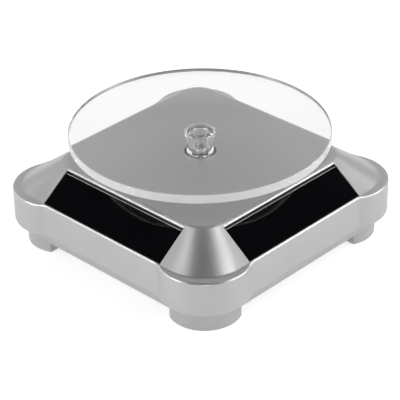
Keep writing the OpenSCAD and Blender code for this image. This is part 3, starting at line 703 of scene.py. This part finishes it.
def dress():
    """Finishes the CAD nodes, and makes the pieces that replace some of them, each tied to its body."""
    paint_cad_nodes()
    shell = make_housing()
    # The shell's second material is black for the windows' recesses: adhesive, and painted shade in the
    # gaps above the cells
    paint(shell, SILVER, BLACK)
    disc = make_disc()
    paint(disc, ACRYLIC, CUT_EDGE)
    hub = make_hub()
    paint(hub, CLEAR)
    for obj, node, body, slot in (
        (shell, "upper_housing", "stand", "housing_silver"),
        (disc, "turntable_disc", "turntable", "clear_acrylic"),
        (hub, "spindle_hub", "turntable", "clear_plastic"),
    ):
        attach(obj, body)
        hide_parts(node)
    for side, way in enumerate(("front", "right", "back", "left")):
        cell = make_cell(side, f"glass_cell_{way}")
        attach(cell, "stand")
        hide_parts(f"solar_cell_{way}")


# ---------- floor, light and camera ----------


def join_values(nodes, links, operation, a, b):
    """A sum, product or the like of two values; each is a number or another node's output."""
    node = nodes.new("ShaderNodeMath")
    node.operation = operation
    for socket, value in zip(node.inputs, (a, b)):
        if isinstance(value, (int, float)):
            socket.default_value = value
        else:
            links.new(value, socket)
    return node.outputs[0]


FLOOR_HALF = 6000
FLOOR_GLOW = 0.72
SHADED_SHARE = 0.1       # the share of the glow that is left under the object
SHADE_INSET = 14         # the shade starts to fade this far inside the object's sides
SHADE_FADE = 7
FLOOR_BOUNCE = 0.7       # the share of the glow that falls on the object, as from an overexposed floor
SEEN_THROUGH = 0.5       # how much of the rest is seen through the clear disc


def floor_shade(nodes, links):
    """How brightly each place on the floor glows: little under the object, and fully beyond it."""
    split = nodes.new("ShaderNodeSeparateXYZ")
    links.new(nodes.new("ShaderNodeTexCoord").outputs["Object"], split.inputs["Vector"])
    reach = [join_values(nodes, links, "ABSOLUTE", split.outputs[axis], 0.0) for axis in "XY"]
    fade = nodes.new("ShaderNodeMapRange")
    fade.inputs["From Min"].default_value = (BASE_HIGH.x - SHADE_INSET) * MM
    fade.inputs["From Max"].default_value = (BASE_HIGH.x - SHADE_INSET + SHADE_FADE) * MM
    fade.inputs["To Min"].default_value = FLOOR_GLOW * SHADED_SHARE
    fade.inputs["To Max"].default_value = FLOOR_GLOW
    links.new(join_values(nodes, links, "MAXIMUM", *reach), fade.inputs["Value"])
    return fade.outputs["Result"]


def ray_share(nodes, links):
    """The share of the glow that a ray gets: all if it is the camera's, less if it has bounced."""
    ray = nodes.new("ShaderNodeLightPath").outputs
    bounced = join_values(nodes, links, "MAXIMUM", ray["Is Diffuse Ray"], ray["Is Glossy Ray"])
    passing = join_values(nodes, links, "MULTIPLY", ray["Is Transmission Ray"], SEEN_THROUGH)
    bounced = join_values(nodes, links, "SUBTRACT", bounced, passing)
    lost = join_values(nodes, links, "MULTIPLY", bounced, 1 - FLOOR_BOUNCE)
    return join_values(nodes, links, "SUBTRACT", 1.0, lost)


def make_floor():
    """A pale floor that glows softly, to stand for the photo's white background."""
    bm = bmesh.new()
    corners = [(x * FLOOR_HALF, y * FLOOR_HALF, 0) for x, y in ((-1, -1), (1, -1), (1, 1), (-1, 1))]
    bm.faces.new(add_ring(bm, corners))
    floor = mesh_object("floor", bm)
    pale = surface("pale_floor", (0.55, 0.55, 0.55), 0.7, mottle=0.0, uneven=0.0, grain_colour=0.0,
                   depth=0.0)
    nodes, links = pale.node_tree.nodes, pale.node_tree.links
    shader = nodes["Principled BSDF"]
    shader.inputs["Emission Color"].default_value = (1, 1, 1, 1)
    glow = join_values(nodes, links, "MULTIPLY", floor_shade(nodes, links), ray_share(nodes, links))
    links.new(glow, shader.inputs["Emission Strength"])
    paint(floor, pale)


def toward(azimuth, elevation):
    """The direction from the object to a viewer: azimuth 0 is in front, at -Y, and 90 is at +X."""
    a, e = math.radians(azimuth), math.radians(elevation)
    return Vector((math.sin(a) * math.cos(e), -math.cos(a) * math.cos(e), math.sin(e)))


def aim(obj, azimuth, elevation, distance, target, roll=0.0):
    """Puts an object in a direction from a target and turns it to look there."""
    back = toward(azimuth, elevation)
    look = back.to_track_quat("Z", "Y").to_matrix() @ Matrix.Rotation(math.radians(roll), 3, "Z")
    obj.matrix_world = Matrix.Translation(target + back * distance) @ look.to_4x4()


LAMP_DISTANCE = 1.2
LAMP_TARGET = Vector((0, 0, 0.02))


def add_softbox(name, azimuth, elevation, size, brightness):
    """A flat, evenly bright panel that faces the object. Brightness 1 looks as bright as a white floor."""
    lamp = bpy.data.lights.new(name, "AREA")
    lamp.shape = "RECTANGLE"
    lamp.size, lamp.size_y = size
    lamp.energy = math.pi * size[0] * size[1] * brightness
    obj = bpy.data.objects.new(name, lamp)
    bpy.context.scene.collection.objects.link(obj)
    aim(obj, azimuth, elevation, LAMP_DISTANCE, LAMP_TARGET)


# The camera that was fitted to the photo
CAMERA_AZIMUTH = 44.226
CAMERA_ELEVATION = 31.166
CAMERA_ROLL = -1.054
CAMERA_DISTANCE = 0.57677
CAMERA_TARGET = Vector((0.00836, -0.00918, 0.02))
CAMERA_LENS = 152.2
SENSOR_W = 36


def make_camera():
    """The camera of the photo."""
    camera = bpy.data.cameras.new("camera")
    camera.lens = CAMERA_LENS
    camera.sensor_width = SENSOR_W
    obj = bpy.data.objects.new("camera", camera)
    bpy.context.scene.collection.objects.link(obj)
    aim(obj, CAMERA_AZIMUTH, CAMERA_ELEVATION, CAMERA_DISTANCE, CAMERA_TARGET, CAMERA_ROLL)
    bpy.context.scene.camera = obj


WORLD_HORIZON = 0.35
WORLD_ZENITH = 0.03
# The heights between which the sky dims, of a direction whose whole length is 1
DIM_FROM, DIM_TO = 0.35, 0.9


def light_world():
    """A sky that is pale near the horizon and dim overhead, as in a light tent with an open top."""
    world = bpy.data.worlds.new("tent")
    bpy.context.scene.world = world
    world.use_nodes = True
    nodes, links = world.node_tree.nodes, world.node_tree.links
    split = nodes.new("ShaderNodeSeparateXYZ")
    links.new(nodes.new("ShaderNodeTexCoord").outputs["Generated"], split.inputs["Vector"])
    fall = nodes.new("ShaderNodeMapRange")
    fall.interpolation_type = "SMOOTHSTEP"
    fall.inputs["From Min"].default_value = DIM_FROM
    fall.inputs["From Max"].default_value = DIM_TO
    fall.inputs["To Min"].default_value = WORLD_HORIZON
    fall.inputs["To Max"].default_value = WORLD_ZENITH
    links.new(split.outputs["Z"], fall.inputs["Value"])
    links.new(fall.outputs["Result"], nodes["Background"].inputs["Strength"])


# Square softboxes: bearing from the camera's, elevation, side in metres, brightness
SOFTBOXES = (
    # On the left, for the left fold, the left walls and the disc's rim
    (-65, 12, 0.45, 10.0),
    (-115, 12, 0.45, 2.6),
    (-117, 28, 0.3, 0.8),
    (-88, 30, 0.3, 7.0),
    (-75, 45, 0.3, 3.4),
    (-88, 62, 0.3, 3.0),
    # On the right
    (65, 12, 0.45, 5.5),
    (90, 12, 0.45, 7.0),
    (117, 28, 0.3, 2.6),
    (90, 30, 0.3, 4.0),
    (75, 45, 0.3, 6.0),
    (88, 62, 0.3, 5.0),
    # Low in front, for the lobe and the foot
    (0, 8, 0.25, 9.0),
)
# Three tall dim panels side by side behind, which the flat top mirrors
BACK_STEP = 35
BACK_ELEVATION = 30
BACK_SIZE = (0.72, 1.1)
BACK_BRIGHTNESS = 0.61
# A low strip behind, for the rounding of the flat top's far corner
STRIP_ELEVATION = 4
STRIP_SIZE = (1.4, 0.14)
STRIP_BRIGHTNESS = 1.6


def light_stand():
    """Softboxes at the sides and in front, and dim panels behind."""
    for i, (bearing, elevation, side, brightness) in enumerate(SOFTBOXES):
        add_softbox(f"softbox_{i}", CAMERA_AZIMUTH + bearing, elevation, (side, side), brightness)
    behind = CAMERA_AZIMUTH + 180
    for i in range(3):
        azimuth = behind + BACK_STEP * (i - 1)
        add_softbox(f"back_panel_{i}", azimuth, BACK_ELEVATION, BACK_SIZE, BACK_BRIGHTNESS)
    add_softbox("back_horizon", behind, STRIP_ELEVATION, STRIP_SIZE, STRIP_BRIGHTNESS)


def set_rendering():
    """Plain colours, and enough bounces for light to pass through the clear pieces."""
    scene = bpy.context.scene
    scene.view_settings.view_transform = "Standard"
    scene.cycles.max_bounces = 32
    scene.cycles.transmission_bounces = 32
    scene.cycles.glossy_bounces = 24


make_camera()
make_floor()
light_world()
light_stand()
set_rendering()
dress()
